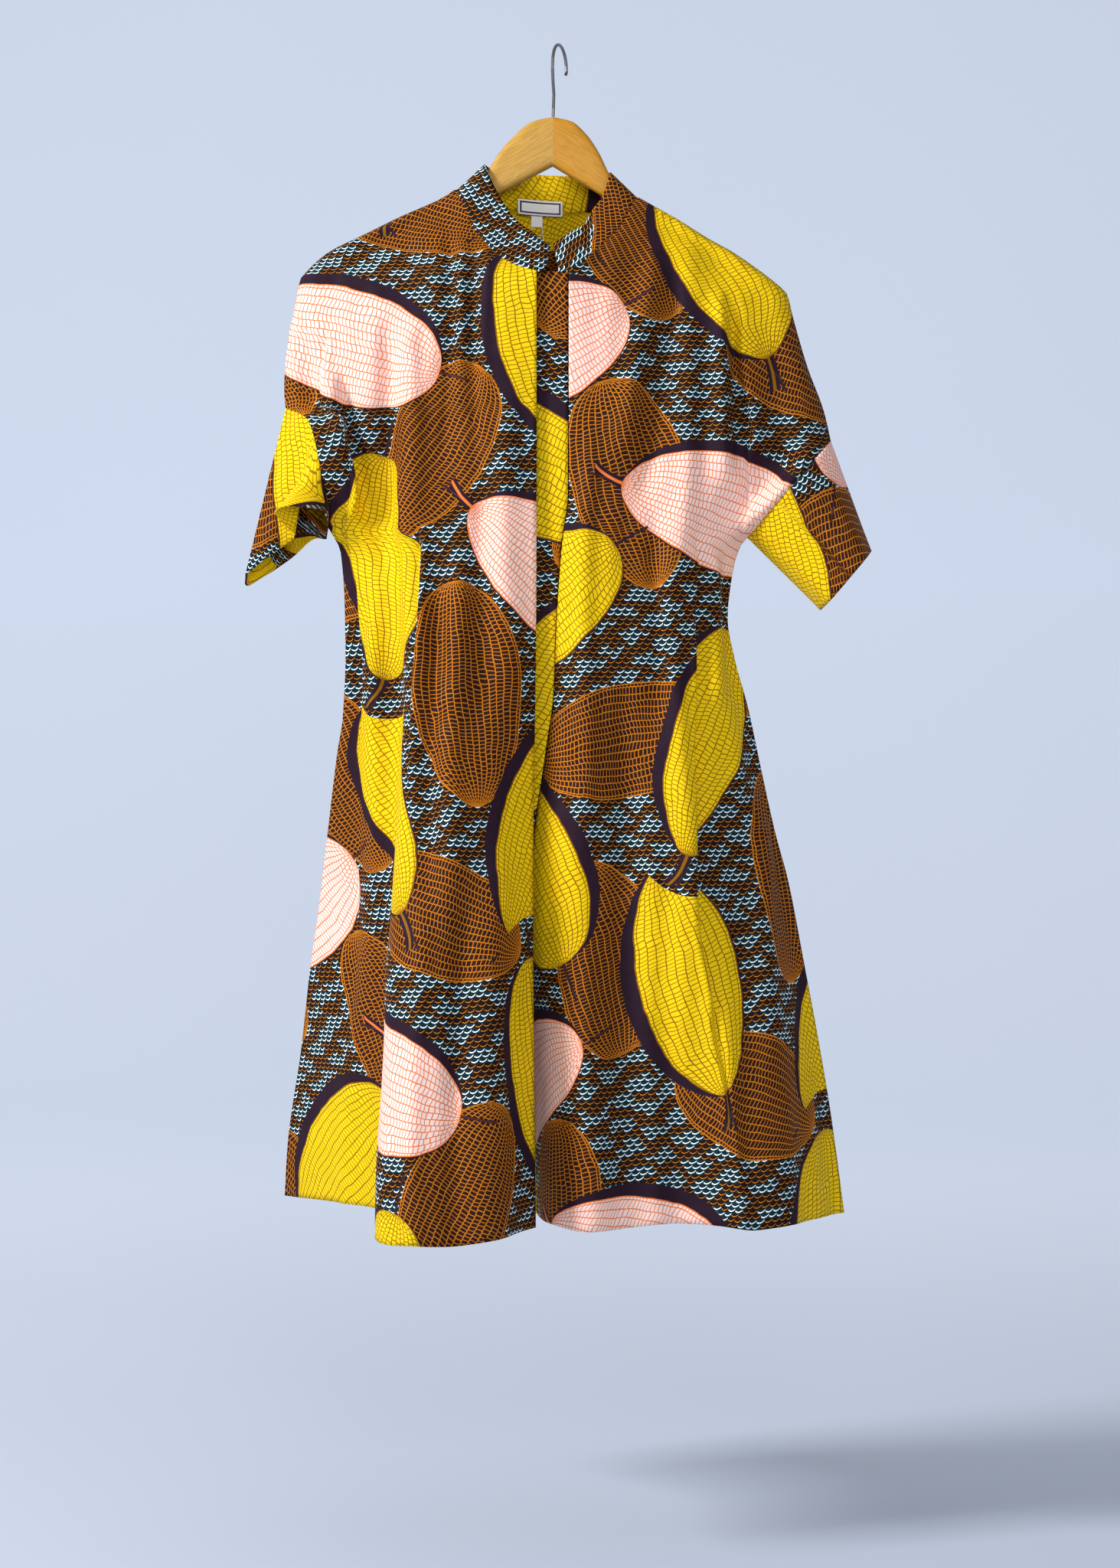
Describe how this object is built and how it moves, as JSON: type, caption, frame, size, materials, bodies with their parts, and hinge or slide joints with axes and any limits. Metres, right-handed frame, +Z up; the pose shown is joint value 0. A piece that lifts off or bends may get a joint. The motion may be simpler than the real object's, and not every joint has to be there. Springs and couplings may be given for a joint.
{
  "type": "short sleeve dress on a hanger",
  "caption": "Short sleeve printed cotton shirt dress with a band collar and covered button placket, on a wooden hanger with a wire hook.",
  "frame": {"origin": "the hook's seat: the inner top of the hook's bend, where it rests on a rail", "axes": "+Z up, +X to the viewer's right as the dress's front is seen, front of the dress toward -Y"},
  "size_m": [0.5735, 0.39, 1.0763],
  "materials": {
    "print_cotton": "crisp plain weave cotton with a printed leaf pattern",
    "label_weave": "smooth white woven tape",
    "light_wood": "clear lacquer",
    "dark_wood": "clear lacquer",
    "hook_wire": "bright"
  },
  "bodies": {
    "root": {"front_left": "print_cotton", "front_right": "print_cotton", "back": "print_cotton", "sleeve_left": "print_cotton", "sleeve_right": "print_cotton", "collar": "print_cotton", "placket": "print_cotton", "label": "label_weave", "size_tab": "label_weave", "hanger_left": "light_wood", "hanger_right": "dark_wood", "hook": "hook_wire"}
  },
  "joints": []
}
